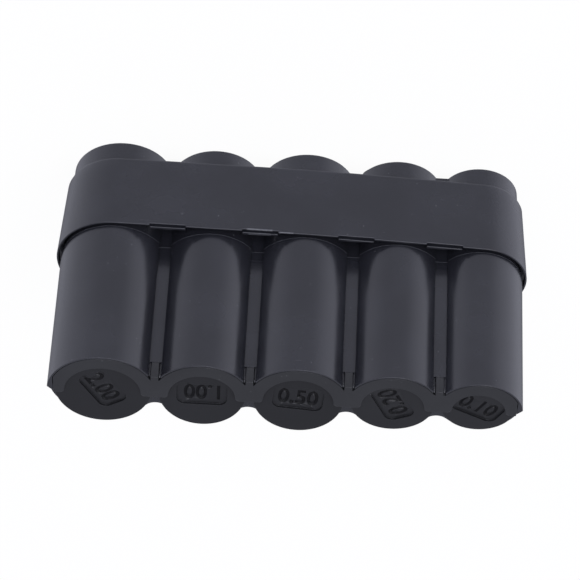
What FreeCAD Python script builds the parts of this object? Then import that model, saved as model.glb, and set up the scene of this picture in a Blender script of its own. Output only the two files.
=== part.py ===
import FreeCAD, Part
import itertools
import math
import os

# Coin dispenser: five round coin tubes in a row, moulded as one block. Each tube holds a sprung
# follower that lifts its coins against a thin lip plate, and the top coin slides out at the front
# under that plate. A tapered sleeve sits round the lower part of the block.
# Z is up, the row runs along X with the largest tube at -X, and the coins leave towards -Y.

os.makedirs("parts", exist_ok=True)
doc = FreeCAD.newDocument("coin_dispenser")

# Driving dimensions in millimetres and degrees, each written once.
DIMENSIONS = {
    "coin_dia_1": 25.75,
    "coin_dia_2": 23.25,
    "coin_dia_3": 24.25,
    "coin_dia_4": 22.25,
    "coin_dia_5": 19.75,
    "coin_clearance": 0.4,
    "tube_wall": 1.5,
    "shared_wall": 1.0,
    "total_height": 77.0,
    "step_height": 31.3,
    "step_ledge": 0.4,
    "taper": 0.65,
    "end_lean": 0.35,
    "lower_wall": 1.2,
    "foot_round": 0.6,
    "floor_thickness": 1.6,
    "web_lift": 0.6,
    "valley_floor": 6.8,
    "valley_round": 3.3,
    "groove_width": 3.35,
    "exit_height": 2.9,
    "end_chamfer": 2.3,
    "lip_thickness": 1.0,
    "lip_width": 4.6,
    "lip_reach": 0.8,
    "lip_gap": 0.15,
    "lip_web_width": 4.0,
    "horn_round": 1.2,
    "rim_skin": 0.5,
    "rim_end_wall": 1.6,
    "leg_width": 2.05,
    "leg_thickness": 0.8,
    "leg_length": 5.7,
    "leg_lead_in": 1.5,
    "barb_depth": 0.5,
    "barb_height": 1.2,
    "follower_clearance": 0.47,
    "follower_disc": 2.0,
    "follower_gap": 0.3,
    "hub_length": 8.0,
    "hub_wall": 1.2,
    "hub_gap": 1.5,
    "label_length": 13.4,
    "label_width": 8.2,
    "label_corner": 2.2,
    "label_depth": 0.65,
    "tip_1": 3.1,
    "tip_2": 6.8,
    "tip_3": 6.5,
    "tip_4": -0.3,
    "tip_5": -1.5,
    "turn_1": -58.0,
    "turn_2": 180.0,
    "turn_3": -5.0,
    "turn_4": 115.0,
    "turn_5": -29.0,
    "spring_wire": 0.7,
    "spring_side_gap": 2.6,
    "spring_seat_gap": 0.05,
    "spring_head_gap": 0.3,
    "spring_end_pitch": 1.3,
    "sleeve_bottom": 6.5,
    "sleeve_top_gap": 0.1,
    "sleeve_foot_wall": 0.8,
    "sleeve_rim_wall": 1.5,
    "sleeve_clearance": 0.15,
    "foot_bevel_depth": 0.35,
    "foot_bevel_height": 1.0,
    "pad_width": 9.7,
    "pad_thickness": 1.0,
    "pad_height": 6.0,
    "notch_depth": 0.55,
    "notch_shift": 0.5,
    "overrun": 2.0,
}
TUBES = ("1", "2", "3", "4", "5")
VALLEYS = tuple(zip(TUBES, TUBES[1:]))
ROW_ENDS = {TUBES[0]: "-1", TUBES[-1]: "1"}
SLEEVE_TUBES = ("1", "3", "4", "5")
SPRING_HALF_TURNS = 22
SPRING_END_HALF_TURNS = 2

sheet = doc.addObject("Spreadsheet::Sheet", "sizes")
for row, (alias, value) in enumerate(DIMENSIONS.items(), start=1):
    sheet.set("A%d" % row, alias)
    sheet.set("B%d" % row, str(value))
    sheet.setAlias("B%d" % row, alias)
doc.recompute()


def number(expression):
    """Value of an expression on the sheet, for the shapes that are made in code."""
    return float(sheet.evalExpression(expression.replace("sizes.", "")))


# Sizes that several pieces share, as expressions on the sheet.
def bore_r(tube):
    """Radius of the straight coin bore."""
    return f"(sizes.coin_dia_{tube} / 2 + sizes.coin_clearance)"


def tube_r(tube):
    """Outer radius of the upper tube."""
    return f"({bore_r(tube)} + sizes.tube_wall)"


def taper_r(tube, height):
    """Outer radius of the tapered lower tube at a height above the ground."""
    drop = f"sizes.taper * (sizes.step_height - {height}) / sizes.step_height"
    return f"({tube_r(tube)} - sizes.step_ledge - {drop})"


def pitch(left, right):
    """Distance between the axes of two neighbouring tubes."""
    return f"({bore_r(left)} + {bore_r(right)} + sizes.shared_wall)"


def row_length():
    """Length of the row of upper tubes."""
    pitches = " + ".join(pitch(left, right) for left, right in VALLEYS)
    return f"({tube_r(TUBES[0])} + {pitches} + {tube_r(TUBES[-1])})"


def tube_x(tube):
    """X of a tube's axis, with the row centred on the origin."""
    steps = "".join(f" + {pitch(left, right)}" for left, right in VALLEYS if left < tube)
    return f"({tube_r(TUBES[0])}{steps} - {row_length()} / 2)"


def valley_x(left, right):
    """X midway between the outer faces of two neighbouring tubes."""
    return f"(({tube_x(left)} + {tube_r(left)} + {tube_x(right)} - {tube_r(right)}) / 2)"


LIP_Z = "(sizes.total_height - sizes.lip_thickness)"
EXIT_Z = f"({LIP_Z} - sizes.exit_height)"
LEG_Z = "(sizes.total_height - sizes.leg_length)"
LEG_Y = "(sizes.valley_floor + sizes.lip_gap)"
UPPER_HEIGHT = "(sizes.total_height - sizes.step_height)"
TOP_CUT = "(sizes.lip_thickness + sizes.overrun)"
BEYOND_Y = f"({tube_r(TUBES[0])} + sizes.overrun)"
BEYOND_X = f"({row_length()} + 2 * sizes.overrun)"
RIM_Z = "(sizes.step_height - sizes.sleeve_top_gap)"


def bind(piece, **expressions):
    for prop, expression in expressions.items():
        piece.setExpression(prop, expression)


def place(piece, x, y, z):
    piece.setExpression("Placement.Base.x", x)
    piece.setExpression("Placement.Base.y", y)
    piece.setExpression("Placement.Base.z", z)


def cylinder(name, radius, height, x, z, y="0"):
    piece = doc.addObject("Part::Cylinder", name)
    bind(piece, Radius=radius, Height=height)
    place(piece, x, y, z)
    return piece


def cone(name, low_radius, high_radius, height, x, z):
    piece = doc.addObject("Part::Cone", name)
    bind(piece, Radius1=low_radius, Radius2=high_radius, Height=height)
    place(piece, x, "0", z)
    return piece


def box(name, x, y, z, width, depth, height):
    """Box centred on x, with its low Y and Z faces at y and z."""
    piece = doc.addObject("Part::Box", name)
    bind(piece, Length=width, Width=depth, Height=height)
    place(piece, f"({x} - {width} / 2)", y, z)
    return piece


def wedge(name, x, y, z, width, depth, height, lead_in):
    """Box centred on x whose low Z face rises by lead_in from its low Y face to its high one."""
    piece = doc.addObject("Part::Wedge", name)
    piece.Xmin = piece.X2min = piece.Ymin = piece.Zmin = 0
    bind(piece, Xmax=width, X2max=width, Ymax=depth, Zmax=height, Z2min=lead_in, Z2max=height)
    place(piece, f"({x} - {width} / 2)", y, z)
    return piece


def fuse(name, pieces):
    piece = doc.addObject("Part::MultiFuse", name)
    piece.Shapes = pieces
    piece.Refine = True
    return piece


def cut(name, base, tool):
    piece = doc.addObject("Part::Cut", name)
    piece.Base = base
    piece.Tool = tool
    piece.Refine = True
    return piece


def feature(name, shape):
    piece = doc.addObject("Part::Feature", name)
    piece.Shape = shape
    return piece


def fillet(name, base, wanted, radius, tool="Part::Fillet"):
    """Round the edges of base that the test picks, or cut them flat with the chamfer tool."""
    doc.recompute()
    piece = doc.addObject(tool, name)
    piece.Base = base
    edges = enumerate(base.Shape.Edges, start=1)
    piece.Edges = [(index, radius, radius) for index, edge in edges if wanted(edge)]
    return piece


def is_lowest_ring(edge):
    tiny = number("lip_gap") / 2
    return edge.BoundBox.ZMax < tiny and edge.BoundBox.XLength > tiny


def is_upright(edge):
    tiny = number("lip_gap") / 2
    return edge.BoundBox.XLength < tiny and edge.BoundBox.YLength < tiny


def is_front_valley(edge):
    """Where two tubes meet at the front."""
    return is_upright(edge) and edge.BoundBox.YMax < -number("lip_gap")


def is_horn_edge(edge):
    """Upright edge on the plane where the back half of the top ends."""
    return is_upright(edge) and abs(edge.BoundBox.YMin + number("lip_reach")) < number("lip_gap") / 2


def lower_round(name, tube, low_radius, high_radius, height, z):
    """Drafted round of a tube's lower part. On an end tube it leans inwards as it goes down."""
    x = tube_x(tube)
    if tube not in ROW_ENDS:
        return cone(name, low_radius, high_radius, height, x, z)
    rings = []
    for end, radius, level in (("low", low_radius, z), ("high", high_radius, f"({z} + {height})")):
        ring = doc.addObject("Part::Circle", f"{name}_{end}")
        bind(ring, Radius=radius)
        lean = f"sizes.end_lean * (sizes.step_height - {level}) / sizes.step_height"
        place(ring, f"({x} - {ROW_ENDS[tube]} * {lean})", "0", level)
        rings.append(ring)
    drafted = doc.addObject("Part::Loft", name)
    drafted.Sections = rings
    drafted.Solid = True
    drafted.Ruled = True
    return drafted


def make_block_outside():
    """Five tubes and the webs between them, straight above the step and tapered below it."""
    uppers = []
    solids = []
    inset = "(sizes.valley_floor - sizes.step_ledge)"
    for tube in TUBES:
        x = tube_x(tube)
        uppers.append(cylinder(f"upper_tube_{tube}", tube_r(tube), UPPER_HEIGHT, x, "sizes.step_height"))
        lower = lower_round(f"lower_tube_{tube}", tube, taper_r(tube, "0"),
                            taper_r(tube, "sizes.step_height"), "sizes.step_height", "0")
        solids.append(fillet(f"foot_{tube}", lower, is_lowest_ring, number("foot_round")))
    solids.append(fillet("upper_row", fuse("upper_tubes", uppers), is_front_valley, number("valley_round")))
    for left, right in VALLEYS:
        x = f"(({tube_x(left)} + {tube_x(right)}) / 2)"
        width = pitch(left, right)
        solids.append(box(f"upper_web_{left}", x, "0", "sizes.step_height", width, "sizes.valley_floor",
                          UPPER_HEIGHT))
        solids.append(box(f"lower_web_{left}", x, f"-{inset}", "sizes.web_lift", width, f"2 * {inset}",
                          "sizes.step_height - sizes.web_lift"))
    coin_exit = box("coin_exit", "0", f"(-sizes.lip_reach - {BEYOND_Y})", EXIT_Z, BEYOND_X, BEYOND_Y,
                    f"sizes.exit_height + {TOP_CUT}")
    opened = cut("block_opened", fuse("block_whole", solids), coin_exit)
    return fillet("block_outside", opened, is_horn_edge, number("end_chamfer"), "Part::Chamfer")


def lip_disc(name, tube, radius, end_wall, height):
    """Disc over a tube at the lip plate's level, cut straight at the end wall on an end tube."""
    x = tube_x(tube)
    disc = cylinder(name, radius, height, x, LIP_Z)
    if tube not in ROW_ENDS:
        return disc
    past = f"({x} + {ROW_ENDS[tube]} * ({tube_r(tube)} - {end_wall} + {BEYOND_X} / 2))"
    end = box(f"{name}_end", past, f"(-{BEYOND_Y})", f"({LIP_Z} - sizes.overrun)", BEYOND_X,
              f"(2 * {BEYOND_Y})", f"({height} + 2 * sizes.overrun)")
    return cut(f"{name}_cut", disc, end)


def make_bores(tube):
    """Straight coin bore, tapered well below it and the rabbet that the lip plate lies in."""
    x = tube_x(tube)
    ledge = "(sizes.step_height + sizes.step_ledge)"
    low = f"({taper_r(tube, 'sizes.floor_thickness')} - sizes.lower_wall)"
    high = f"({taper_r(tube, 'sizes.step_height')} - sizes.lower_wall)"
    well_height = f"({ledge} - sizes.floor_thickness)"
    return [
        cylinder(f"bore_{tube}", bore_r(tube), f"sizes.total_height + sizes.overrun - {ledge}", x, ledge),
        lower_round(f"well_{tube}", tube, low, high, well_height, "sizes.floor_thickness"),
        lip_disc(f"lip_seat_{tube}", tube, f"({tube_r(tube)} - sizes.rim_skin)", "sizes.rim_end_wall",
                 TOP_CUT),
    ]


def make_valley_cuts(left, right):
    """Groove down the back of a web, and the seat, slot and catch for one leg of the lip plate."""
    x = valley_x(left, right)
    slot = "(sizes.leg_width + 2 * sizes.lip_gap)"
    seat_depth = "(sizes.valley_floor - sizes.rim_skin)"
    catch_y = "(sizes.valley_floor - sizes.barb_depth - sizes.lip_gap)"
    cuts = [
        box(f"lip_web_seat_{left}", x, "0", LIP_Z, "sizes.lip_web_width", seat_depth, TOP_CUT),
        box(f"leg_slot_{left}", x, "0", LIP_Z, slot, BEYOND_Y, TOP_CUT),
        box(f"catch_{left}", x, catch_y, f"({LEG_Z} - sizes.lip_gap)", slot, BEYOND_Y,
            "sizes.barb_height + 2 * sizes.lip_gap"),
    ]
    for side, way in (("left", "-1"), ("right", "1")):
        cuts.append(box(f"leg_{side}_pocket_{left}", f"({x} + {way} * (sizes.groove_width + {slot}) / 4)",
                        "(sizes.valley_floor - sizes.barb_depth)", f"({LEG_Z} - sizes.lip_gap)",
                        f"(sizes.groove_width - {slot}) / 2", BEYOND_Y, f"sizes.leg_length + {TOP_CUT}"))
    stretches = {
        "upper": ("sizes.valley_floor", "sizes.step_height", f"{UPPER_HEIGHT} + sizes.overrun"),
        "lower": ("(sizes.valley_floor - sizes.step_ledge)", "-sizes.overrun",
                  "sizes.step_height + sizes.overrun"),
    }
    for stretch, (floor, z, height) in stretches.items():
        cuts.append(box(f"{stretch}_groove_{left}", x, floor, z, "sizes.groove_width", BEYOND_Y, height))
    return cuts


def make_block():
    """The five closed tubes and their webs as one moulding, open at the top front for the coins."""
    hollows = []
    for tube in TUBES:
        hollows += make_bores(tube)
    for left, right in VALLEYS:
        hollows += make_valley_cuts(left, right)
    block = cut("tube_block", make_block_outside(), fuse("block_hollows", hollows))
    block.Label = "tube_block"
    return block


def make_leg(left, right):
    """Snap leg that hangs from the lip plate in a groove and hooks into the web."""
    x = valley_x(left, right)
    head_depth = f"{LEG_Y} + sizes.leg_thickness"
    hook_depth = "sizes.barb_depth + sizes.lip_gap"
    return [
        box(f"leg_head_{left}", x, "0", LIP_Z, "sizes.leg_width", head_depth, "sizes.lip_thickness"),
        wedge(f"leg_{left}", x, LEG_Y, LEG_Z, "sizes.leg_width", "sizes.leg_thickness", "sizes.leg_length",
              "sizes.leg_lead_in"),
        box(f"hook_{left}", x, "(sizes.valley_floor - sizes.barb_depth)", LEG_Z, "sizes.leg_width",
            hook_depth, "sizes.barb_height"),
    ]


def make_lip():
    """Thin plate let into the tube tops: a crescent over the back half of every coin."""
    solids = []
    openings = []
    through = "(sizes.lip_thickness + 2 * sizes.overrun)"
    web_depth = "sizes.lip_reach + sizes.valley_floor - sizes.rim_skin - sizes.lip_gap"
    for tube in TUBES:
        outer = f"({tube_r(tube)} - sizes.rim_skin - sizes.lip_gap)"
        inner = f"({tube_r(tube)} - sizes.lip_width)"
        solids.append(lip_disc(f"lip_disc_{tube}", tube, outer, "(sizes.rim_end_wall + sizes.lip_gap)",
                               "sizes.lip_thickness"))
        openings.append(cylinder(f"lip_opening_{tube}", inner, through, tube_x(tube),
                                 f"({LIP_Z} - sizes.overrun)"))
    for left, right in VALLEYS:
        solids.append(box(f"lip_web_{left}", valley_x(left, right), "-sizes.lip_reach", LIP_Z,
                          "(sizes.lip_web_width - 2 * sizes.lip_gap)", web_depth, "sizes.lip_thickness"))
        solids += make_leg(left, right)
    openings.append(box("lip_front", "0", f"(-sizes.lip_reach - {BEYOND_Y})",
                        f"({LIP_Z} - sizes.overrun)", BEYOND_X, BEYOND_Y, through))
    plate = cut("lip_sharp", fuse("lip_outside", solids), fuse("lip_openings", openings))

    def is_opening_edge(edge):
        whole = plate.Shape.BoundBox
        tiny = number("lip_gap") / 2
        return is_horn_edge(edge) and whole.XMin + tiny < edge.BoundBox.XMin < whole.XMax - tiny

    lip = fillet("lip_plate", plate, is_opening_edge, number("horn_round"))
    lip.Label = "lip_plate"
    return lip


def follower_r(tube):
    return f"({bore_r(tube)} - sizes.follower_clearance)"


def spring_r(tube):
    """Radius of a spring at the middle of its wire."""
    return f"({bore_r(tube)} - sizes.spring_side_gap - sizes.spring_wire / 2)"


def head_drop(tube):
    """How far the middle of a tipped follower's top lies below the lip plate's underside."""
    front = f"sizes.lip_reach * sin(sizes.tip_{tube})"
    back = f"{follower_r(tube)} * sin(-sizes.tip_{tube})"
    return f"(sizes.follower_gap + max({front}; {back}))"


def make_label_recess(tube):
    """Rounded rectangle, centred on the origin, that is sunk into a follower's top."""
    along = "(sizes.label_length / 2 - sizes.label_corner)"
    across = "(sizes.label_width / 2 - sizes.label_corner)"
    depth = "sizes.label_depth + sizes.overrun"
    z = "-sizes.label_depth"
    pieces = [
        box(f"recess_long_{tube}", "0", f"-{across}", z, "sizes.label_length", f"2 * {across}", depth),
        box(f"recess_wide_{tube}", "0", "-sizes.label_width / 2", z, f"2 * {along}",
            "sizes.label_width", depth),
    ]
    for end, (x, y) in enumerate(itertools.product((along, f"-{along}"), (across, f"-{across}"))):
        pieces.append(cylinder(f"recess_corner_{tube}_{end}", "sizes.label_corner", depth, x, z, y))
    recess = fuse(f"recess_{tube}", pieces)
    recess.setExpression("Placement.Rotation.Angle", f"sizes.turn_{tube}")
    return recess


def make_follower(tube):
    """Round pusher that lifts the coins: a disc with a sunk label field and a hub for the spring."""
    hub_r = f"({spring_r(tube)} - sizes.spring_wire / 2 - sizes.hub_gap)"
    hub_z = "(-sizes.follower_disc - sizes.hub_length)"
    disc = cylinder(f"disc_{tube}", follower_r(tube), "sizes.follower_disc", "0", "-sizes.follower_disc")
    hub = cylinder(f"hub_{tube}", hub_r, "sizes.hub_length", "0", hub_z)
    hollow = cylinder(f"hub_hollow_{tube}", f"({hub_r} - sizes.hub_wall)",
                      "sizes.hub_length + sizes.overrun", "0", f"({hub_z} - sizes.overrun)")
    follower = cut(f"follower_{tube}", fuse(f"pusher_{tube}", [disc, hub]),
                   fuse(f"pusher_cuts_{tube}", [hollow, make_label_recess(tube)]))
    follower.Label = f"follower_{tube}"
    follower.Placement.Rotation = FreeCAD.Rotation(FreeCAD.Vector(-1, 0, 0), 1)
    follower.setExpression("Placement.Rotation.Angle", f"sizes.tip_{tube}")
    place(follower, tube_x(tube), "0", f"{LIP_Z} - {head_drop(tube)}")
    return follower


def arc_between(start, corner, end):
    """Arc from start to end that meets both lines through the corner at a tangent."""
    middle = (start + end) * 0.5
    half_chord = (end - start).Length / 2
    to_corner = corner - middle
    rise = half_chord * math.tan(math.atan2(to_corner.Length, half_chord) / 2)
    return Part.Arc(start, middle + to_corner.normalize() * rise, end).toShape()


def biarc(start, start_way, end, end_way):
    """Two tangent arcs from start to end with the given directions at the ends."""
    chord = end - start
    ways = start_way + end_way
    spread = 2 * (1 - start_way.dot(end_way))
    along = chord.dot(ways)
    reach = (math.sqrt(along * along + spread * chord.dot(chord)) - along) / spread
    first = start + start_way * reach
    second = end - end_way * reach
    joint = (first + second) * 0.5
    return [arc_between(start, first, joint), arc_between(joint, second, end)]


def least_gap(path, wire):
    """Least gap between a wire's surface and itself, measured on points along its path."""
    spacing = wire
    points = path.discretize(Distance=spacing)
    apart = math.ceil(math.pi * wire / spacing) + 1
    gaps = [(points[j] - points[i]).Length
            for i in range(len(points)) for j in range(i + apart, len(points))]
    return min(gaps) - wire


def make_spring(tube):
    """Coil spring from the tube's floor to the underside of its follower, one unbroken wire."""
    wire = number("spring_wire")
    radius = number(spring_r(tube))
    low = number("floor_thickness + spring_seat_gap + spring_wire / 2")
    tip = math.radians(abs(number(f"tip_{tube}")))
    head = number(f"{LIP_Z} - {head_drop(tube)} - follower_disc - spring_head_gap - spring_wire / 2")
    high = head - (radius + wire) * math.tan(tip)
    end_rise = number("spring_end_pitch") / 2
    ends = 2 * SPRING_END_HALF_TURNS
    rise = (high - low - ends * end_rise) / (SPRING_HALF_TURNS - ends)
    heights = [low]
    for half in range(SPRING_HALF_TURNS):
        at_end = half < SPRING_END_HALF_TURNS or half >= SPRING_HALF_TURNS - SPRING_END_HALF_TURNS
        heights.append(heights[-1] + (end_rise if at_end else rise))
    points = [FreeCAD.Vector(radius * math.cos(math.pi * half), 0, z) for half, z in enumerate(heights)]
    ways = []
    for half, z in enumerate(heights):
        before, after = heights[max(half - 1, 0)], heights[min(half + 1, SPRING_HALF_TURNS)]
        steps = min(half + 1, SPRING_HALF_TURNS) - max(half - 1, 0)
        slope = (after - before) / (steps * math.pi * radius)
        ways.append(FreeCAD.Vector(0, math.cos(math.pi * half), slope).normalize())
    edges = []
    for half in range(SPRING_HALF_TURNS):
        edges += biarc(points[half], ways[half], points[half + 1], ways[half + 1])
    path = Part.Wire(edges)
    print("spring", tube, "least gap to itself", round(least_gap(path, wire), 2))
    section = Part.Wire([Part.Circle(points[0], ways[0], wire / 2).toShape()])
    spring = feature(f"spring_{tube}", path.makePipeShell([section], True, False))
    spring.Placement.Base = FreeCAD.Vector(number(tube_x(tube)), 0, 0)
    spring.Label = f"spring_{tube}"
    return spring


def hull_wire(radii, z):
    """Closed outline round circles on the tube axes, as arcs joined by tangent lines."""
    middles = [number(tube_x(tube)) for tube in SLEEVE_TUBES]
    turns = [math.acos((radii[k] - radii[k + 1]) / (middles[k + 1] - middles[k]))
             for k in range(len(radii) - 1)]
    starts = [math.pi] + turns
    ends = turns + [0]

    def at(k, angle, side):
        return FreeCAD.Vector(middles[k] + radii[k] * math.cos(angle), side * radii[k] * math.sin(angle), z)

    edges = []
    for side, order in ((1, range(len(radii))), (-1, reversed(range(len(radii))))):
        for k in order:
            first, last = (starts[k], ends[k]) if side > 0 else (ends[k], starts[k])
            arc = Part.Arc(at(k, first, side), at(k, (first + last) / 2, side), at(k, last, side))
            edges.append(arc.toShape())
            following = k + side
            if 0 <= following < len(radii):
                edges.append(Part.makeLine(at(k, last, side), at(following, last, side)))
    return Part.Wire(edges)


def hull_solid(offset_low, offset_high, z_low, z_high):
    """Drafted solid round the row, its radii given as offsets from those of the upper tubes."""
    wires = []
    for offset, z in ((offset_low, z_low), (offset_high, z_high)):
        wires.append(hull_wire([number(tube_r(tube)) + offset for tube in SLEEVE_TUBES], z))
    return Part.makeLoft(wires, True, True)


def sleeve_offset(z):
    """Offset of the sleeve's inner face from the upper tubes' outlines."""
    return f"(sizes.sleeve_clearance - sizes.step_ledge - sizes.taper * (sizes.step_height - {z})" \
           " / sizes.step_height)"


def inner_line_y(x):
    """Y of the sleeve's inner face at the rim, on its straight stretch over x."""
    offset = number(sleeve_offset(RIM_Z))
    for near, far in zip(SLEEVE_TUBES, SLEEVE_TUBES[1:]):
        x_near, x_far = number(tube_x(near)), number(tube_x(far))
        if x_near <= x <= x_far:
            lean = (number(tube_r(near)) - number(tube_r(far))) / (x_far - x_near)
            return (number(tube_r(near)) + offset - (x - x_near) * lean) / math.sqrt(1 - lean * lean)
    raise ValueError("no stretch of the sleeve over x")


def make_sleeve():
    """Drafted sleeve round the block's lower part, with a thickened, notched rim at each valley."""
    rim, bottom, over = number(RIM_Z), number("sleeve_bottom"), number("overrun")
    foot_offset = number(f"{sleeve_offset('sizes.sleeve_bottom')} + sizes.sleeve_foot_wall")
    rim_offset = number(f"{sleeve_offset(RIM_Z)} + sizes.sleeve_rim_wall")
    bevel_depth, bevel_top = number("foot_bevel_depth"), bottom + number("foot_bevel_height")
    bevel_offset = foot_offset + (rim_offset - foot_offset) * (bevel_top - bottom) / (rim - bottom)
    outside = hull_solid(foot_offset - bevel_depth, bevel_offset, bottom, bevel_top)
    outside = outside.fuse(hull_solid(bevel_offset, rim_offset, bevel_top, rim))
    inside = hull_solid(number(sleeve_offset("(sizes.sleeve_bottom - sizes.overrun)")),
                        number(sleeve_offset(f"({RIM_Z} + sizes.overrun)")), bottom - over, rim + over)
    width, thick, height = number("pad_width"), number("pad_thickness"), number("pad_height")
    wall, notch = number("sleeve_rim_wall"), number("notch_depth")
    pads = []
    notches = []
    for left, right in VALLEYS:
        x = number(valley_x(left, right)) + number("notch_shift")
        face = inner_line_y(x)
        corner = FreeCAD.Vector(x - width / 2, -face - wall / 2, rim - notch - height)
        between = FreeCAD.Vector(x - width / 2, thick - face, rim - notch - height)
        pad = Part.makeBox(width, 2 * face + wall, height, corner)
        pads.append(pad.cut(Part.makeBox(width, 2 * (face - thick), height, between)))
        low = FreeCAD.Vector(x - width / 2, -face - over, rim - notch)
        notches.append(Part.makeBox(width, 2 * (face + over), notch + over, low))
    ring = outside.cut(inside).fuse(pads)
    sleeve = feature("band_sleeve", ring.cut(notches).removeSplitter())
    sleeve.Label = "band_sleeve"
    return sleeve


parts = [make_block(), make_lip(), make_sleeve()]
for tube in TUBES:
    parts.append(make_follower(tube))
    parts.append(make_spring(tube))
doc.recompute()

for piece in doc.Objects:
    bad = [state for state in piece.State if state in ("Invalid", "Error")]
    if bad:
        raise RuntimeError(f"{piece.Name} is {bad}")
whole = FreeCAD.BoundBox()
for piece in parts:
    shape = piece.Shape
    if shape.isNull() or not shape.isValid() or len(shape.Solids) != 1:
        raise RuntimeError(f"{piece.Label} is not one valid solid")
    whole.add(shape.BoundBox)
    print(f"{piece.Label} volume {shape.Volume:.1f} faces {len(shape.Faces)}")
    shape.exportStep(f"parts/{piece.Label}.step")
print("whole", whole)
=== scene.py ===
import math

import bmesh
import bpy
import numpy as np
from mathutils import Matrix, Vector


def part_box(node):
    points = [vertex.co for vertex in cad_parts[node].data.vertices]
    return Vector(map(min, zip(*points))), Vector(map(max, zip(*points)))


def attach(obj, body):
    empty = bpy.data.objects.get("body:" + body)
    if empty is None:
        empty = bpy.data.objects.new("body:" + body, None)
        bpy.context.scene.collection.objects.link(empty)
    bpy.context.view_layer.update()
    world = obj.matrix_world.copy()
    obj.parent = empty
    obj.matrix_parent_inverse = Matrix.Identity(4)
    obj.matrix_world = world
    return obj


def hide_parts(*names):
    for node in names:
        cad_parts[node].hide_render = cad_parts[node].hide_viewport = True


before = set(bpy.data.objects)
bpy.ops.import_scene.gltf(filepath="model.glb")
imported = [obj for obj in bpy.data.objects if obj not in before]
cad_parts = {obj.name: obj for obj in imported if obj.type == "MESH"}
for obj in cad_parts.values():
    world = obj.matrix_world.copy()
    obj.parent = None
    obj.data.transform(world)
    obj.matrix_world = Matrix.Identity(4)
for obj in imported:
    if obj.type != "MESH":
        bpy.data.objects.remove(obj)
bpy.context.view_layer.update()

MM = 0.001
CASE = "case"

# The camera. A long lens looks down from the palm side onto the outlet end, and it is held upside-down,
# as the photograph was, so the closed ends of the tubes come out at the top of the picture.
PICTURE = 580
FOCAL_PIXELS = 3302.5
SENSOR = 36.0
CAMERA_AT = Vector((-0.6, 692.3, 611.5)) * MM
CAMERA_AZIMUTH = 179.963
CAMERA_ELEVATION = 39.618
CAMERA_ROLL = -176.997

camera_data = bpy.data.cameras.new("camera")
camera_data.sensor_width = SENSOR
camera_data.lens = FOCAL_PIXELS * SENSOR / PICTURE
camera_data.clip_start = 0.05
camera_data.clip_end = 20
camera = bpy.data.objects.new("camera", camera_data)
bpy.context.scene.collection.objects.link(camera)
upright = Matrix.Rotation(math.radians(90 - CAMERA_ELEVATION), 4, "X")
turned = Matrix.Rotation(math.radians(-CAMERA_AZIMUTH), 4, "Z")
rolled = Matrix.Rotation(math.radians(CAMERA_ROLL), 4, "Z")
camera.matrix_world = Matrix.Translation(CAMERA_AT) @ turned @ upright @ rolled
bpy.context.scene.camera = camera


# The plastic. Every moulding is black ABS with a satin skin. What breaks the skin up is a faint orange
# peel from the mould, finer grain, hairline rub marks and specks of dust. A few edges get painted
# highlights, lighter colour that stands in for glints.
PEEL_SCALE, GRAIN_SCALE, PATCH_SCALE = 650, 6500, 55
RUB_STRETCH = (60, 2600, 2600)
RUB_TURNS = ((0.1, 0.2, 0.35), (0.15, -0.1, 1.2))
RUB_FADE_SCALE = 90
SPECK_CELLS = 420
SPECK_FIELD_SCALE = 300
GLINT_BREAKUP_SCALE = 1600
SHADE_SPREAD = 0.15
DUST_COLOR = (0.16, 0.16, 0.165, 1)
# Colour painted along a few edges as a highlight, standing in for glints.
PAINTED_GLINT_COLOR = (0.3, 0.305, 0.32, 1)


def new_group(name, inputs, outputs):
    """Empty node group with float inputs (name: default) and typed outputs."""
    group = bpy.data.node_groups.new(name, "ShaderNodeTree")
    for label, default in inputs.items():
        socket = group.interface.new_socket(name=label, in_out="INPUT", socket_type="NodeSocketFloat")
        socket.default_value = default
    for label, kind in outputs.items():
        group.interface.new_socket(name=label, in_out="OUTPUT", socket_type=kind)
    return group, group.nodes.new("NodeGroupInput"), group.nodes.new("NodeGroupOutput")


def math_node(group, operation, first, second, clamp=False):
    """Math node on two sockets or numbers."""
    node = group.nodes.new("ShaderNodeMath")
    node.operation = operation
    node.use_clamp = clamp
    for socket, value in zip(node.inputs, (first, second)):
        if isinstance(value, (int, float)):
            socket.default_value = value
        else:
            group.links.new(value, socket)
    return node.outputs[0]


def noise_node(group, vector, scale, detail, roughness=0.5):
    """Noise at this many lumps a metre."""
    node = group.nodes.new("ShaderNodeTexNoise")
    node.inputs["Detail"].default_value = detail
    node.inputs["Roughness"].default_value = roughness
    node.inputs["Scale"].default_value = scale
    group.links.new(vector, node.inputs["Vector"])
    return node.outputs["Fac"]


def stretched(group, vector, scale, turn):
    """Turn and stretch a pattern's coordinates."""
    node = group.nodes.new("ShaderNodeMapping")
    node.inputs["Scale"].default_value = scale
    node.inputs["Rotation"].default_value = turn
    group.links.new(vector, node.inputs["Vector"])
    return node.outputs["Vector"]


def ramp_node(group, value, low, high):
    """Map value from low..high to 0..1, smoothly."""
    node = group.nodes.new("ShaderNodeMapRange")
    node.interpolation_type = "SMOOTHSTEP"
    node.inputs["From Min"].default_value = low
    node.inputs["From Max"].default_value = high
    group.links.new(value, node.inputs["Value"])
    return node.outputs["Result"]


def make_skin_group():
    """Height of the mould's orange peel and of its finer grain, in metres."""
    group, given, out = new_group("moulded skin", {"Peel": 0.6e-6, "Grain": 0.15e-6},
                                  {"Height": "NodeSocketFloat", "Patches": "NodeSocketFloat"})
    place = group.nodes.new("ShaderNodeTexCoord").outputs["Object"]
    peel = noise_node(group, place, PEEL_SCALE, 2)
    grain = noise_node(group, place, GRAIN_SCALE, 2)
    patches = noise_node(group, place, PATCH_SCALE, 3)
    high = math_node(group, "MULTIPLY", peel, given.outputs["Peel"])
    low = math_node(group, "MULTIPLY", grain, given.outputs["Grain"])
    group.links.new(math_node(group, "ADD", high, low), out.inputs["Height"])
    group.links.new(patches, out.inputs["Patches"])
    return group


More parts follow.
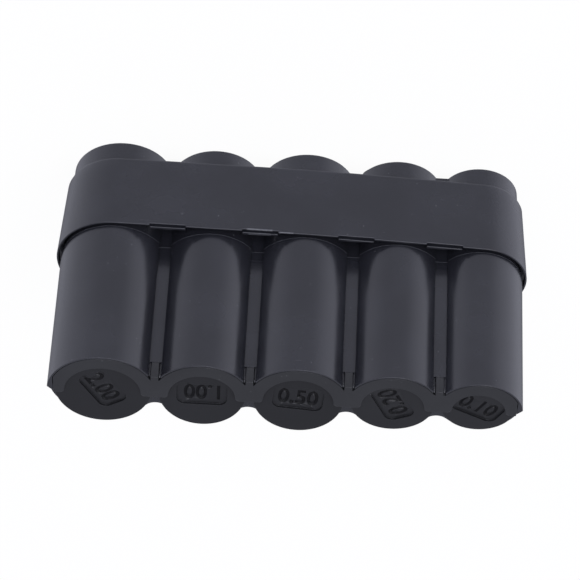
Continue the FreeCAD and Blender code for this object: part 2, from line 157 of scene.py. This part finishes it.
def make_rub_group():
    """Mask of hairline rub marks that run mostly along one way, and a mask of dust specks."""
    group, given, out = new_group("rub marks and dust", {"Rubs": 0.5, "Dust": 0.5},
                                  {"Rub": "NodeSocketFloat", "Speck": "NodeSocketFloat"})
    place = group.nodes.new("ShaderNodeTexCoord").outputs["Object"]
    marks = []
    for turn in RUB_TURNS:
        along = stretched(group, place, RUB_STRETCH, turn)
        streak = noise_node(group, along, 1, 3, 0.6)
        marks.append(ramp_node(group, streak, 0.66, 0.78))
    joined = math_node(group, "MAXIMUM", marks[0], marks[1])
    fade = ramp_node(group, noise_node(group, place, RUB_FADE_SCALE, 2), 0.42, 0.68)
    rub = math_node(group, "MULTIPLY", math_node(group, "MULTIPLY", joined, fade), given.outputs["Rubs"])
    cells = group.nodes.new("ShaderNodeTexVoronoi")
    cells.inputs["Scale"].default_value = SPECK_CELLS
    group.links.new(place, cells.inputs["Vector"])
    dot = ramp_node(group, cells.outputs["Distance"], 0.075, 0.03)
    few = ramp_node(group, noise_node(group, place, SPECK_FIELD_SCALE, 1), 0.53, 0.59)
    speck = math_node(group, "MULTIPLY", math_node(group, "MULTIPLY", dot, few), given.outputs["Dust"])
    group.links.new(rub, out.inputs["Rub"])
    group.links.new(speck, out.inputs["Speck"])
    return group


def make_painted_glint_group():
    """Broken-up mask for a painted highlight, inside a box given by its middle and half sizes in metres,
    with a soft border.
    """
    group, given, out = new_group("painted glint patch", {"Border": 0.0003, "Broken": 0.5},
                                  {"Painted glint": "NodeSocketFloat"})
    for label in ("Middle", "Half size"):
        group.interface.new_socket(name=label, in_out="INPUT", socket_type="NodeSocketVector")
    place = group.nodes.new("ShaderNodeTexCoord").outputs["Object"]
    off = group.nodes.new("ShaderNodeVectorMath")
    off.operation = "SUBTRACT"
    group.links.new(place, off.inputs[0])
    group.links.new(given.outputs["Middle"], off.inputs[1])
    away = group.nodes.new("ShaderNodeVectorMath")
    away.operation = "ABSOLUTE"
    group.links.new(off.outputs["Vector"], away.inputs[0])
    inside = group.nodes.new("ShaderNodeVectorMath")
    inside.operation = "SUBTRACT"
    group.links.new(given.outputs["Half size"], inside.inputs[0])
    group.links.new(away.outputs["Vector"], inside.inputs[1])
    parts = group.nodes.new("ShaderNodeSeparateXYZ")
    group.links.new(inside.outputs["Vector"], parts.inputs[0])
    nearest = math_node(group, "MINIMUM", math_node(group, "MINIMUM", parts.outputs[0], parts.outputs[1]),
                        parts.outputs[2])
    filled = math_node(group, "ADD", math_node(group, "DIVIDE", nearest, given.outputs["Border"]), 0, True)
    broken_up = ramp_node(group, noise_node(group, place, GLINT_BREAKUP_SCALE, 3, 0.7), 0.35, 0.6)
    whole = math_node(group, "SUBTRACT", 1, given.outputs["Broken"])
    kept = math_node(group, "ADD", math_node(group, "MULTIPLY", broken_up, given.outputs["Broken"]), whole)
    group.links.new(math_node(group, "MULTIPLY", filled, kept), out.inputs["Painted glint"])
    return group


SKIN = make_skin_group()
RUBS = make_rub_group()
PAINTED_GLINT = make_painted_glint_group()


def black_plastic(name, color, roughness, ior, peel, grain, rubs, dust):
    """Satin black plastic: its colour and roughness vary a little in patches, along rubs and at specks."""
    material = bpy.data.materials.new(name)
    material.use_nodes = True
    tree = material.node_tree
    shader = tree.nodes["Principled BSDF"]
    skin = tree.nodes.new("ShaderNodeGroup")
    skin.node_tree = SKIN
    skin.inputs["Peel"].default_value = peel
    skin.inputs["Grain"].default_value = grain
    marks = tree.nodes.new("ShaderNodeGroup")
    marks.node_tree = RUBS
    marks.inputs["Rubs"].default_value = rubs
    marks.inputs["Dust"].default_value = dust
    patch = ramp_node(tree, skin.outputs["Patches"], 0.3, 0.7)
    shades = tree.nodes.new("ShaderNodeMix")
    shades.data_type = "RGBA"
    shades.inputs["A"].default_value = (*[c * (1 - SHADE_SPREAD) for c in color], 1)
    shades.inputs["B"].default_value = (*[c * (1 + SHADE_SPREAD) for c in color], 1)
    tree.links.new(patch, shades.inputs["Factor"])
    dusty = tree.nodes.new("ShaderNodeMix")
    dusty.data_type = "RGBA"
    dusty.inputs["B"].default_value = DUST_COLOR
    tree.links.new(shades.outputs["Result"], dusty.inputs["A"])
    pale_rub = math_node(tree, "MULTIPLY", marks.outputs["Rub"], 0.08)
    tree.links.new(math_node(tree, "ADD", marks.outputs["Speck"], pale_rub), dusty.inputs["Factor"])
    tree.links.new(dusty.outputs["Result"], shader.inputs["Base Color"])
    uneven = math_node(tree, "MULTIPLY", patch, 0.06)
    rubbed = math_node(tree, "MULTIPLY", marks.outputs["Rub"], 0.22)
    rougher = math_node(tree, "ADD", uneven, rubbed)
    tree.links.new(math_node(tree, "ADD", rougher, roughness, True), shader.inputs["Roughness"])
    bump = tree.nodes.new("ShaderNodeBump")
    bump.inputs["Strength"].default_value = 1.0
    bump.inputs["Distance"].default_value = 1.0
    tree.links.new(skin.outputs["Height"], bump.inputs["Height"])
    tree.links.new(bump.outputs["Normal"], shader.inputs["Normal"])
    shader.inputs["IOR"].default_value = ior
    return material


def paint_glint(material, middle, half_size, border, broken, share):
    """Paint a highlight on part of a moulding's edge: lighter colour that stands in for a glint. Places and
    sizes are in millimetres.
    """
    tree = material.node_tree
    base = tree.nodes["Principled BSDF"].inputs["Base Color"]
    mask = tree.nodes.new("ShaderNodeGroup")
    mask.node_tree = PAINTED_GLINT
    mask.inputs["Middle"].default_value = [value * MM for value in middle]
    mask.inputs["Half size"].default_value = [value * MM for value in half_size]
    mask.inputs["Border"].default_value = border * MM
    mask.inputs["Broken"].default_value = broken
    glinted = tree.nodes.new("ShaderNodeMix")
    glinted.data_type = "RGBA"
    glinted.inputs["B"].default_value = PAINTED_GLINT_COLOR
    tree.links.new(base.links[0].from_socket, glinted.inputs["A"])
    tree.links.new(math_node(tree, "MULTIPLY", mask.outputs["Painted glint"], share), glinted.inputs["Factor"])
    tree.links.new(glinted.outputs["Result"], base)


# The tube block. One black ABS moulding: five round coin tubes of different bores in a row, closed at
# the bottom and joined by webs, with square grooves down the back and rounded valleys down the front.
# It is straight above a small step and tapered below it, and cut low at the front for the coins.
BLOCK_EDGE = 0.1
STEP_Z = 31.3
SEAT_Z = 76.0
LEVEL = 0.01
MERGE = 1e-6
BLOCK_MERGE = 2e-5
FLAT_ANGLE = math.radians(0.3)
SHARP_ANGLE = math.radians(32)
SMOOTH_ANGLE = math.radians(50)


def settle(piece):
    """Turn the evaluated piece into its plain mesh and drop its modifiers."""
    bpy.context.view_layer.update()
    evaluated = piece.evaluated_get(bpy.context.evaluated_depsgraph_get())
    mesh = bpy.data.meshes.new_from_object(evaluated)
    piece.modifiers.clear()
    piece.data = mesh


def solid_copy(node, name, merge=MERGE):
    """Copy of a node's solid as a piece of its own, with its points merged and its flat faces joined."""
    piece = bpy.data.objects.new(name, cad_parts[node].data.copy())
    bpy.context.scene.collection.objects.link(piece)
    shape = bmesh.new()
    shape.from_mesh(piece.data)
    bmesh.ops.remove_doubles(shape, verts=shape.verts, dist=merge)
    bmesh.ops.dissolve_degenerate(shape, edges=shape.edges, dist=merge)
    bmesh.ops.dissolve_limit(shape, angle_limit=FLAT_ANGLE, verts=shape.verts, edges=shape.edges)
    bmesh.ops.recalc_face_normals(shape, faces=shape.faces)
    shape.to_mesh(piece.data)
    shape.free()
    piece.data.materials.clear()
    return piece


def soften(piece, width, steps=2, covered_z=None):
    """Round the edges of a copy, as the mould and handling leave them, but not at a covered level."""
    shape = bmesh.new()
    shape.from_mesh(piece.data)
    rounding = shape.edges.layers.float.new("bevel_weight_edge")
    for edge in shape.edges:
        covered = covered_z is not None and all(abs(v.co.z / MM - covered_z) < LEVEL for v in edge.verts)
        if len(edge.link_faces) == 2 and edge.calc_face_angle() > SHARP_ANGLE and not covered:
            edge[rounding] = 1
    shape.to_mesh(piece.data)
    shape.free()
    bevel = piece.modifiers.new("bevel", "BEVEL")
    bevel.width = width * MM
    bevel.segments = steps
    bevel.limit_method = "WEIGHT"
    bevel.use_clamp_overlap = False
    settle(piece)


def cut_away(piece, cutter):
    """Take the cutter's solid out of the piece. The walls of the cut get the cutter's material."""
    cut = piece.modifiers.new("cut", "BOOLEAN")
    cut.operation = "DIFFERENCE"
    cut.solver = "EXACT"
    cut.material_mode = "TRANSFER"
    cut.object = cutter
    settle(piece)
    bpy.data.objects.remove(cutter)


def shade(piece):
    """Split the remaining many-sided faces and shade the piece smooth between its edges."""
    shape = bmesh.new()
    shape.from_mesh(piece.data)
    bmesh.ops.triangulate(shape, faces=[face for face in shape.faces if len(face.verts) > 4])
    shape.to_mesh(piece.data)
    shape.free()
    piece.data.polygons.foreach_set("use_smooth", [True] * len(piece.data.polygons))
    piece.data.set_sharp_from_angle(angle=SMOOTH_ANGLE)
    weighted = piece.modifiers.new("weighted normals", "WEIGHTED_NORMAL")
    weighted.keep_sharp = True
    settle(piece)


block = solid_copy("tube_block", "coin_tubes", merge=BLOCK_MERGE)
soften(block, BLOCK_EDGE, covered_z=SEAT_Z)
for vertex in block.data.vertices:
    vertex.co.z = max(vertex.co.z, 0)
shade(block)
block_plastic = black_plastic("block plastic", (0.014, 0.0145, 0.018), roughness=0.2, ior=1.5,
                              peel=0.5e-6, grain=0.1e-6, rubs=0.4, dust=0.5)
# Painted highlight: a lighter band of colour along the step edge, standing in for the glint of its rounded
# edge.
paint_glint(block_plastic, (0, 0, STEP_Z), (70, 20, 0.22), border=0.1, broken=0.3, share=0.25)
block.data.materials.append(block_plastic)
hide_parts("tube_block")
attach(block, CASE)


# The lip plate. A flat black plate, 1 mm thick, let into a rabbet in the tube tops and held by four
# snap legs in the grooves. Its half-round openings leave a crescent over the back of each coin.
PLATE_EDGE = 0.08

lip = solid_copy("lip_plate", "lip_cover")
soften(lip, PLATE_EDGE)
shade(lip)
lip.data.materials.append(black_plastic("plate plastic", (0.011, 0.0115, 0.0125), roughness=0.3, ior=1.46,
                                        peel=0.4e-6, grain=0.2e-6, rubs=0.5, dust=0.8))
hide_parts("lip_plate")
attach(lip, CASE)


# The sleeve. A drafted ring of the same black plastic, pushed up over the tapered lower part until it
# meets the step. Its walls run straight from tube to tube. Its rim has a shallow notch with a thicker
# pad at every valley, and a narrow channel runs round behind it.
SLEEVE_EDGE = 0.2
SLEEVE_ROUNDS = ((-48.35, 14.775), (3.5, 14.025), (51.35, 11.775))
CHANNEL_OFFSET = 0.15
CHANNEL_WIDTH = 1.0
CHANNEL_LOW, CHANNEL_HIGH = 29.5, 31.7
# Painted highlights at one notch of the rim: lighter colour on its outer and inner edges, standing in for
# glints.
RIM_PAINTED_GLINTS = (((-9.2, 15.25, 30.6), (3.6, 0.5, 0.3), 0.3), ((-9.2, 13.4, 30.6), (3.2, 0.5, 0.3), 0.1),
              ((-2.0, 15.3, 31.2), (2.0, 0.35, 0.3), 0.25))
ARC_STEP = math.radians(3)

sleeve_plastic = black_plastic("sleeve plastic", (0.014, 0.0145, 0.018), roughness=0.22, ior=1.47,
                               peel=0.5e-6, grain=0.1e-6, rubs=0.1, dust=0.9)
# The rim's glints are painted on as lighter colour.
for middle, half_size, share in RIM_PAINTED_GLINTS:
    paint_glint(sleeve_plastic, middle, half_size, border=0.15, broken=0.6, share=share)


def rim_path():
    """Closed line round the sleeve's rim, as arcs about three of the tubes joined by tangents."""
    turns = [math.pi]
    for (x, radius), (next_x, next_radius) in zip(SLEEVE_ROUNDS, SLEEVE_ROUNDS[1:]):
        turns.append(math.acos((radius - next_radius) / (next_x - x)))
    turns.append(0)
    points = []
    for (x, radius), first, last in zip(SLEEVE_ROUNDS, turns, turns[1:]):
        steps = max(3, round(abs(first - last) / ARC_STEP))
        for angle in np.linspace(first, last, steps + 1):
            reach = radius + CHANNEL_OFFSET
            points.append((x + reach * math.cos(angle), reach * math.sin(angle)))
    points += [(x, -y) for x, y in reversed(points[1:-1])]
    z = (CHANNEL_LOW + CHANNEL_HIGH) / 2
    line = bpy.data.meshes.new("rim path")
    edges = [(i, (i + 1) % len(points)) for i in range(len(points))]
    line.from_pydata([Vector((x, y, z)) * MM for x, y in points], edges, [])
    return line


def channel_tree():
    """Geometry Nodes tree that sweeps a rectangle along a closed line."""
    tree = bpy.data.node_groups.new("rim channel", "GeometryNodeTree")
    sockets = {}
    for label, kind in (("Line", "NodeSocketGeometry"), ("Width", "NodeSocketFloat"),
                        ("Height", "NodeSocketFloat"), ("Material", "NodeSocketMaterial")):
        sockets[label] = tree.interface.new_socket(name=label, in_out="INPUT", socket_type=kind)
    tree.interface.new_socket(name="Channel", in_out="OUTPUT", socket_type="NodeSocketGeometry")
    given = tree.nodes.new("NodeGroupInput")
    out = tree.nodes.new("NodeGroupOutput")
    curve = tree.nodes.new("GeometryNodeMeshToCurve")
    upright = tree.nodes.new("GeometryNodeSetCurveNormal")
    upright.mode = "Z_UP"
    section = tree.nodes.new("GeometryNodeCurvePrimitiveQuadrilateral")
    swept = tree.nodes.new("GeometryNodeCurveToMesh")
    plain = tree.nodes.new("GeometryNodeRealizeInstances")
    dressed = tree.nodes.new("GeometryNodeSetMaterial")
    tree.links.new(given.outputs["Line"], curve.inputs["Mesh"])
    tree.links.new(curve.outputs["Curve"], upright.inputs["Curve"])
    tree.links.new(given.outputs["Width"], section.inputs["Width"])
    tree.links.new(given.outputs["Height"], section.inputs["Height"])
    tree.links.new(upright.outputs["Curve"], swept.inputs["Curve"])
    tree.links.new(section.outputs["Curve"], swept.inputs["Profile Curve"])
    tree.links.new(swept.outputs["Mesh"], plain.inputs["Geometry"])
    tree.links.new(plain.outputs["Geometry"], dressed.inputs["Geometry"])
    tree.links.new(given.outputs["Material"], dressed.inputs["Material"])
    tree.links.new(dressed.outputs["Geometry"], out.inputs["Channel"])
    return tree, sockets


def rim_channel():
    """The channel behind the sleeve's rim as a closed solid, to take out of the sleeve."""
    channel = bpy.data.objects.new("rim channel", rim_path())
    bpy.context.scene.collection.objects.link(channel)
    sweep = channel.modifiers.new("rim channel", "NODES")
    sweep.node_group, sockets = channel_tree()
    sweep[sockets["Width"].identifier] = CHANNEL_WIDTH * MM
    sweep[sockets["Height"].identifier] = (CHANNEL_HIGH - CHANNEL_LOW) * MM
    sweep[sockets["Material"].identifier] = sleeve_plastic
    settle(channel)
    shape = bmesh.new()
    shape.from_mesh(channel.data)
    bmesh.ops.recalc_face_normals(shape, faces=shape.faces)
    shape.to_mesh(channel.data)
    shape.free()
    return channel


sleeve = solid_copy("band_sleeve", "lower_sleeve")
sleeve.data.materials.append(sleeve_plastic)
cut_away(sleeve, rim_channel())
soften(sleeve, SLEEVE_EDGE, steps=3)
shade(sleeve)
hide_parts("band_sleeve")
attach(sleeve, CASE)


# The followers. Each is a round black pusher in its tube, with a hollow hub that centres the spring and
# a sunk field on top that carries the coin's number. They sit a little tipped, as springs leave them.
FOLLOWER_EDGE = 0.07
LABEL_DEPTH = 0.65
NUMERAL_HEIGHT = 5.4
NUMERAL_WIDTH_SHARE = 0.86
NUMERAL_BOLD_SHARE = 0.016
NUMERAL_DEPTH = 0.4
LIP_REACH = 0.8
LIP_THICKNESS = 1.0
FOLLOWER_GAP = 0.3
COIN_RADII = (12.875, 11.625, 12.125, 11.125, 9.875)
BORE_CLEARANCE = 0.4
FOLLOWER_CLEARANCE = 0.47
NUMERALS = ("2.00", "1.00", "0.50", "0.20", "0.10")
TIPS = (3.1, 6.8, 6.5, -0.3, -1.5)
TURNS = (-58.0, 180.0, -5.0, 115.0, -29.0)
TUBE_X = (-48.35, -22.05, 3.5, 28.55, 51.35)

follower_plastic = black_plastic("follower plastic", (0.006, 0.0062, 0.007), roughness=0.42, ior=1.4,
                                 peel=0.4e-6, grain=0.35e-6, rubs=0.4, dust=0.5)
# Painted shade: the engraved numerals' walls and floors get a near-black, rougher plastic, so the recesses
# read darker than the follower.
engraving_shade_plastic = black_plastic("engraving painted shade", (0.002, 0.002, 0.0025), roughness=0.6, ior=1.3,
                                 peel=0.4e-6, grain=1.5e-6, rubs=0, dust=0.3)


def numeral_solid(text):
    """The numeral as a closed solid, centred on the label, to sink into its floor."""
    curve = bpy.data.curves.new("numeral", "FONT")
    curve.body = text
    curve.align_x = "CENTER"
    curve.resolution_u = 6
    curve.offset = NUMERAL_BOLD_SHARE
    curve.extrude = 0.5
    holder = bpy.data.objects.new("numeral", curve)
    bpy.context.scene.collection.objects.link(holder)
    bpy.context.view_layer.update()
    mesh = bpy.data.meshes.new_from_object(holder.evaluated_get(bpy.context.evaluated_depsgraph_get()))
    bpy.data.objects.remove(holder)
    shape = bmesh.new()
    shape.from_mesh(mesh)
    bmesh.ops.remove_doubles(shape, verts=shape.verts, dist=1e-5)
    bmesh.ops.recalc_face_normals(shape, faces=shape.faces)
    low = Vector([min(v.co[i] for v in shape.verts) for i in range(3)])
    high = Vector([max(v.co[i] for v in shape.verts) for i in range(3)])
    grow = NUMERAL_HEIGHT / (high.y - low.y)
    for v in shape.verts:
        shifted = v.co - (low + high) / 2
        z = -LABEL_DEPTH + (NUMERAL_DEPTH if shifted.z > 0 else -NUMERAL_DEPTH)
        v.co = Vector((shifted.x * grow * NUMERAL_WIDTH_SHARE, shifted.y * grow, z)) * MM
    shape.to_mesh(mesh)
    shape.free()
    mesh.materials.clear()
    # The engraving's walls and floor take the painted-shade plastic.
    mesh.materials.append(engraving_shade_plastic)
    solid = bpy.data.objects.new("numeral solid", mesh)
    bpy.context.scene.collection.objects.link(solid)
    return solid


def label_place(k):
    """Where follower k's disc stands: tipped about the tube's cross axis, and turned about its own."""
    tip = math.radians(TIPS[k])
    radius = COIN_RADII[k] + BORE_CLEARANCE - FOLLOWER_CLEARANCE
    drop = LIP_THICKNESS + FOLLOWER_GAP + max(LIP_REACH * math.sin(tip), -radius * math.sin(tip))
    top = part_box("tube_block")[1].z / MM - drop
    place = Matrix.Translation(Vector((TUBE_X[k], 0, top)) * MM)
    return place @ Matrix.Rotation(-tip, 4, "X") @ Matrix.Rotation(math.radians(TURNS[k]), 4, "Z")


for k, numeral in enumerate(NUMERALS):
    follower = solid_copy(f"follower_{k + 1}", f"coin_pusher_{k + 1}")
    follower.data.materials.append(follower_plastic)
    soften(follower, FOLLOWER_EDGE)
    solid = numeral_solid(numeral)
    solid.data.transform(label_place(k))
    cut_away(follower, solid)
    shade(follower)
    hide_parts(f"follower_{k + 1}")
    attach(follower, f"pusher_{k + 1}")


# The springs. Drawn steel wire, coiled cold, stands on each tube's floor and pushes its follower up.
# They don't show in the photograph, and keep their CAD shape.
DRAWN_SCALE = 900


def spring_steel():
    """Bright steel, its tone and roughness a little uneven from drawing."""
    material = bpy.data.materials.new("spring steel")
    material.use_nodes = True
    tree = material.node_tree
    shader = tree.nodes["Principled BSDF"]
    shader.inputs["Metallic"].default_value = 1.0
    place = tree.nodes.new("ShaderNodeTexCoord").outputs["Object"]
    drawn = noise_node(tree, place, DRAWN_SCALE, 3)
    tone = tree.nodes.new("ShaderNodeMix")
    tone.data_type = "RGBA"
    tone.inputs["A"].default_value = (0.42, 0.43, 0.44, 1)
    tone.inputs["B"].default_value = (0.6, 0.6, 0.61, 1)
    tree.links.new(drawn, tone.inputs["Factor"])
    tree.links.new(tone.outputs["Result"], shader.inputs["Base Color"])
    rougher = math_node(tree, "MULTIPLY", drawn, 0.2)
    tree.links.new(math_node(tree, "ADD", rougher, 0.22), shader.inputs["Roughness"])
    return material


steel = spring_steel()
for k in range(len(NUMERALS)):
    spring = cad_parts[f"spring_{k + 1}"]
    spring.data.materials.clear()
    spring.data.materials.append(steel)


# The table and the light. The floor is white. The plastic mirrors the studio all round it, a pale tent
# that is a little blue, with a large soft panel on the right, a weaker one on the left, a bright one
# round the camera and less light from behind.
FLOOR_REACH = 2500.0
SEEN_WHITE = 0.95
TENT_COLOR = (0.96, 0.975, 1.13)
TENT = 0.75
PANELS = (((0.95, 0.08, -0.3), 0.5, 0.95, 0.5), ((-0.95, 0.08, -0.3), 0.5, 0.95, 0.2),
          ((0, 0.75, 0.66), 0.9, 0.96, 3.5), ((0, -0.75, -0.66), 0.8, 1.0, -0.4))
BEHIND = 0.7
KEY_SIZE = 0.5
KEY_POWER = 3
KEY_AT = Vector((0.4, 0.5, 0.9))
KEY_AIM = Vector((0, 0, 0.04))


def white_floor():
    """White to the camera, matt for the shadow, and not there for reflections."""
    material = bpy.data.materials.new("floor white")
    material.use_nodes = True
    tree = material.node_tree
    tree.nodes.clear()
    out = tree.nodes.new("ShaderNodeOutputMaterial")
    glow = tree.nodes.new("ShaderNodeEmission")
    paint = tree.nodes.new("ShaderNodeBsdfDiffuse")
    paint.inputs["Color"].default_value = (0.82, 0.82, 0.82, 1)
    unseen = tree.nodes.new("ShaderNodeBsdfTransparent")
    rays = tree.nodes.new("ShaderNodeLightPath")
    bright = tree.nodes.new("ShaderNodeMixShader")
    tree.links.new(math_node(tree, "MULTIPLY", rays.outputs["Is Camera Ray"], SEEN_WHITE), bright.inputs[0])
    tree.links.new(paint.outputs[0], bright.inputs[1])
    tree.links.new(glow.outputs[0], bright.inputs[2])
    mirrored = tree.nodes.new("ShaderNodeMixShader")
    tree.links.new(rays.outputs["Is Glossy Ray"], mirrored.inputs[0])
    tree.links.new(bright.outputs[0], mirrored.inputs[1])
    tree.links.new(unseen.outputs[0], mirrored.inputs[2])
    tree.links.new(mirrored.outputs[0], out.inputs["Surface"])
    return material


def make_studio():
    """The tent and its panels for light and reflections, and plain white behind for the camera."""
    world = bpy.data.worlds.new("studio")
    world.use_nodes = True
    tree = world.node_tree
    way = tree.nodes.new("ShaderNodeTexCoord").outputs["Generated"]
    light = TENT
    for axis, outer, inner, strength in PANELS:
        facing = tree.nodes.new("ShaderNodeVectorMath")
        facing.operation = "DOT_PRODUCT"
        facing.inputs[1].default_value = Vector(axis).normalized()
        tree.links.new(way, facing.inputs[0])
        panel = ramp_node(tree, facing.outputs["Value"], outer, inner)
        light = math_node(tree, "ADD", math_node(tree, "MULTIPLY", panel, strength), light)
    parts = tree.nodes.new("ShaderNodeSeparateXYZ")
    tree.links.new(way, parts.inputs[0])
    ahead = ramp_node(tree, parts.outputs["Y"], -0.8, 0)
    dim = math_node(tree, "ADD", math_node(tree, "MULTIPLY", ahead, 1 - BEHIND), BEHIND)
    strength = math_node(tree, "MULTIPLY", light, dim)
    tent = tree.nodes["Background"]
    tent.inputs["Color"].default_value = (*TENT_COLOR, 1)
    tree.links.new(strength, tent.inputs["Strength"])
    white = tree.nodes.new("ShaderNodeBackground")
    white.inputs["Color"].default_value = (1, 1, 1, 1)
    seen = tree.nodes.new("ShaderNodeMixShader")
    tree.links.new(tree.nodes.new("ShaderNodeLightPath").outputs["Is Camera Ray"], seen.inputs[0])
    tree.links.new(tent.outputs[0], seen.inputs[1])
    tree.links.new(white.outputs[0], seen.inputs[2])
    tree.links.new(seen.outputs[0], tree.nodes["World Output"].inputs["Surface"])
    return world


floor_mesh = bpy.data.meshes.new("floor")
floor_mesh.from_pydata([(x * FLOOR_REACH * MM, y * FLOOR_REACH * MM, 0)
                        for x, y in ((-1, -1), (1, -1), (1, 1), (-1, 1))], [], [(0, 1, 2, 3)])
floor = bpy.data.objects.new("floor", floor_mesh)
bpy.context.scene.collection.objects.link(floor)
floor.data.materials.append(white_floor())
bpy.context.scene.world = make_studio()

key_data = bpy.data.lights.new("key", "AREA")
key_data.shape = "RECTANGLE"
key_data.size = key_data.size_y = KEY_SIZE
key_data.energy = KEY_POWER
key = bpy.data.objects.new("key", key_data)
key.location = KEY_AT
key.rotation_euler = (KEY_AIM - KEY_AT).to_track_quat("-Z", "Y").to_euler()
bpy.context.scene.collection.objects.link(key)

bpy.context.scene.view_settings.view_transform = "Standard"
